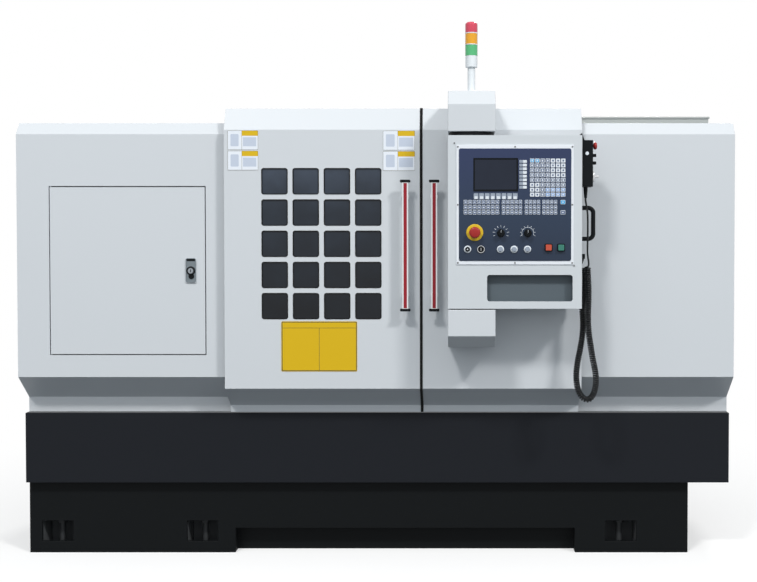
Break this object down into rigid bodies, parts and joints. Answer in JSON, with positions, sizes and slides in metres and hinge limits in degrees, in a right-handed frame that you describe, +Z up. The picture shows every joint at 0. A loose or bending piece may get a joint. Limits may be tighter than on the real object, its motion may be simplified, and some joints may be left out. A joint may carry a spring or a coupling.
{
  "type": "flat bed lathe",
  "caption": "Enclosed flat bed lathe with sliding doors, windowed guard, swivelling control panel with curly-cord pendant, tower light and black chip tray base.",
  "frame": {"origin": "on the floor under the spindle axis, at the middle of the machine's length", "axes": "+X along the spindle from headstock to tailstock, +Y away from the operator, +Z up"},
  "size_m": [2.68, 1.7363, 1.997],
  "materials": {
    "light_paint": "satin powder coat",
    "plinth_paint": "satin black",
    "tray_paint": "satin black",
    "cast_iron": "painted casting with ground ways",
    "bright_steel": "ground",
    "dark_steel": "black oxide",
    "motor_black": "semi-gloss black",
    "black_rubber": "matt",
    "duct_plastic": "matt",
    "module_plastic": "matt",
    "tinted_glass": "smoked",
    "handle_metal": "satin",
    "tower_plastic": "gloss",
    "lens_plastic": "gloss, one colour for each lens",
    "frame_paint": "satin",
    "face_film": "matt film",
    "key_plastic": "matt",
    "red_plastic": "gloss",
    "yellow_plastic": "gloss",
    "green_plastic": "gloss",
    "black_plastic": "matt",
    "cord_rubber": "matt"
  },
  "bodies": {
    "machine": {"base_plinth": "plinth_paint", "chip_pan": "tray_paint", "leveling_jacks": "dark_steel", "bed": "cast_iron", "headstock": "cast_iron", "left_cover": "light_paint", "right_cover": "light_paint", "rear_guard": "light_paint", "door_rails": "bright_steel", "electrical_cabinet": "light_paint", "cable_duct": "duct_plastic", "spindle_motor": "motor_black", "drive_belts": "black_rubber", "z_servo_motor": "motor_black", "drive_modules": "module_plastic"},
    "cabinet_door": {"cabinet_door": "light_paint"},
    "spindle": {"spindle": "bright_steel", "chuck_body": "dark_steel"},
    "jaw_1": {"chuck_jaw_1": "bright_steel"},
    "jaw_2": {"chuck_jaw_2": "bright_steel"},
    "jaw_3": {"chuck_jaw_3": "bright_steel"},
    "motor_pulley": {"motor_pulley": "bright_steel"},
    "ball_screw": {"z_ball_screw": "bright_steel"},
    "carriage": {"saddle": "cast_iron", "x_servo_motor": "motor_black"},
    "cross_slide": {"cross_slide": "cast_iron"},
    "turret": {"tool_turret": "bright_steel", "turning_tools": "dark_steel"},
    "tailstock": {"tailstock": "cast_iron"},
    "quill": {"quill": "bright_steel", "tailstock_center": "dark_steel"},
    "tail_wheel": {"tailstock_handwheel": "dark_steel"},
    "access_door": {"access_door": "light_paint"},
    "access_latch": {"access_latch": "bright_steel"},
    "left_door": {"left_door": "light_paint", "window_pane": "tinted_glass", "left_door_handle": "handle_metal", "door_seal": "black_rubber"},
    "right_door": {"right_door": "light_paint", "right_door_handle": "handle_metal", "panel_brackets": "light_paint", "swivel_pads": "black_plastic", "tower_light": "tower_plastic", "tower_lenses": "lens_plastic"},
    "panel": {"panel_box": "light_paint", "control_frame": "frame_paint", "control_face": "face_film", "keypad": "key_plastic", "stop_ring": "yellow_plastic", "function_buttons": "key_plastic", "side_handle": "black_plastic", "pendant": "black_plastic", "cord_glands": "black_plastic", "cord_leads": "cord_rubber", "curly_cord": "cord_rubber"},
    "e_stop": {"e_stop_button": "red_plastic"},
    "feed_knob": {"feed_knob": "black_plastic"},
    "spindle_knob": {"spindle_knob": "black_plastic"},
    "start_button": {"start_button": "green_plastic"},
    "stop_button": {"stop_button": "red_plastic"},
    "pendant_stop": {"pendant_stop": "red_plastic"},
    "pendant_wheel": {"pendant_handwheel": "dark_steel"}
  },
  "joints": [
    {"name": "left_door_slide", "type": "slide", "parent": "machine", "child": "left_door", "axis": [1, 0, 0], "range_m": [-0.7, 0]},
    {"name": "right_door_slide", "type": "slide", "parent": "machine", "child": "right_door", "axis": [1, 0, 0], "range_m": [0, 0.55]},
    {"name": "panel_swivel", "type": "hinge", "parent": "right_door", "child": "panel", "pos_m": [0.356, -0.72, 1.212], "axis": [0, 0, -1], "range_deg": [0, 90]},
    {"name": "access_door_swing", "type": "hinge", "parent": "machine", "child": "access_door", "pos_m": [-1.214, -0.556, 1.088], "axis": [0, 0, -1], "range_deg": [0, 110]},
    {"name": "access_latch_turn", "type": "hinge", "parent": "access_door", "child": "access_latch", "pos_m": [-0.69, -0.56, 1.088], "axis": [0, 1, 0], "range_deg": [0, 90]},
    {"name": "cabinet_door_swing", "type": "hinge", "parent": "machine", "child": "cabinet_door", "pos_m": [0.907, 0.87, 0.992], "axis": [0, 0, -1], "range_deg": [0, 110]},
    {"name": "spindle_turn", "type": "hinge", "parent": "machine", "child": "spindle", "pos_m": [-0.6, 0, 1.092], "axis": [1, 0, 0], "continuous": true},
    {"name": "motor_pulley_turn", "type": "hinge", "parent": "machine", "child": "motor_pulley", "pos_m": [-1.25, 0.33, 0.712], "axis": [1, 0, 0], "continuous": true},
    {"name": "jaw_1_slide", "type": "slide", "parent": "spindle", "child": "jaw_1", "axis": [0, 0, 1], "range_m": [-0.008, 0.008]},
    {"name": "jaw_2_slide", "type": "slide", "parent": "spindle", "child": "jaw_2", "axis": [0, -0.866, -0.5], "range_m": [-0.008, 0.008]},
    {"name": "jaw_3_slide", "type": "slide", "parent": "spindle", "child": "jaw_3", "axis": [0, 0.866, -0.5], "range_m": [-0.008, 0.008]},
    {"name": "ball_screw_turn", "type": "hinge", "parent": "machine", "child": "ball_screw", "pos_m": [0.25, -0.23, 0.712], "axis": [1, 0, 0], "range_deg": [-3600, 12600]},
    {"name": "carriage_slide", "type": "slide", "parent": "machine", "child": "carriage", "axis": [-1, 0, 0], "range_m": [-0.1, 0.35]},
    {"name": "cross_slide_feed", "type": "slide", "parent": "carriage", "child": "cross_slide", "axis": [0, 1, 0], "range_m": [-0.1, 0.04]},
    {"name": "turret_index", "type": "hinge", "parent": "cross_slide", "child": "turret", "pos_m": [0.18, -0.19, 1.062], "axis": [0, 0, 1], "continuous": true},
    {"name": "tailstock_slide", "type": "slide", "parent": "machine", "child": "tailstock", "axis": [-1, 0, 0], "range_m": [0, 0.36]},
    {"name": "tailstock_wheel_turn", "type": "hinge", "parent": "tailstock", "child": "tail_wheel", "pos_m": [1.1, 0, 1.092], "axis": [-1, 0, 0], "range_deg": [0, 8640]},
    {"name": "quill_slide", "type": "slide", "parent": "tailstock", "child": "quill", "axis": [-1, 0, 0], "range_m": [0, 0.12]},
    {"name": "e_stop_press", "type": "slide", "parent": "panel", "child": "e_stop", "axis": [0, 1, 0], "range_m": [0, 0.006]},
    {"name": "feed_knob_turn", "type": "hinge", "parent": "panel", "child": "feed_knob", "pos_m": [0.4585, -0.8, 1.227], "axis": [0, -1, 0], "range_deg": [-135, 135]},
    {"name": "spindle_knob_turn", "type": "hinge", "parent": "panel", "child": "spindle_knob", "pos_m": [0.5537, -0.8, 1.227], "axis": [0, -1, 0], "range_deg": [-135, 135]},
    {"name": "start_press", "type": "slide", "parent": "panel", "child": "start_button", "axis": [0, 1, 0], "range_m": [0, 0.004], "stiffness_N_per_m": 400},
    {"name": "stop_press", "type": "slide", "parent": "panel", "child": "stop_button", "axis": [0, 1, 0], "range_m": [0, 0.004], "stiffness_N_per_m": 400},
    {"name": "pendant_stop_press", "type": "slide", "parent": "panel", "child": "pendant_stop", "axis": [-1, 0, 0], "range_m": [0, 0.004]},
    {"name": "pendant_wheel_turn", "type": "hinge", "parent": "panel", "child": "pendant_wheel", "pos_m": [0.79, -0.73, 1.431], "axis": [1, 0, 0], "continuous": true}
  ],
  "couplings": [
    {"joint": "motor_pulley_turn", "follows": "spindle_turn", "ratio": 1.625},
    {"joint": "jaw_2_slide", "follows": "jaw_1_slide", "ratio": 1},
    {"joint": "jaw_3_slide", "follows": "jaw_1_slide", "ratio": 1},
    {"joint": "ball_screw_turn", "follows": "carriage_slide", "rad_per_m": 628.32},
    {"joint": "quill_slide", "follows": "tailstock_wheel_turn", "m_per_rad": 0.00079577}
  ]
}
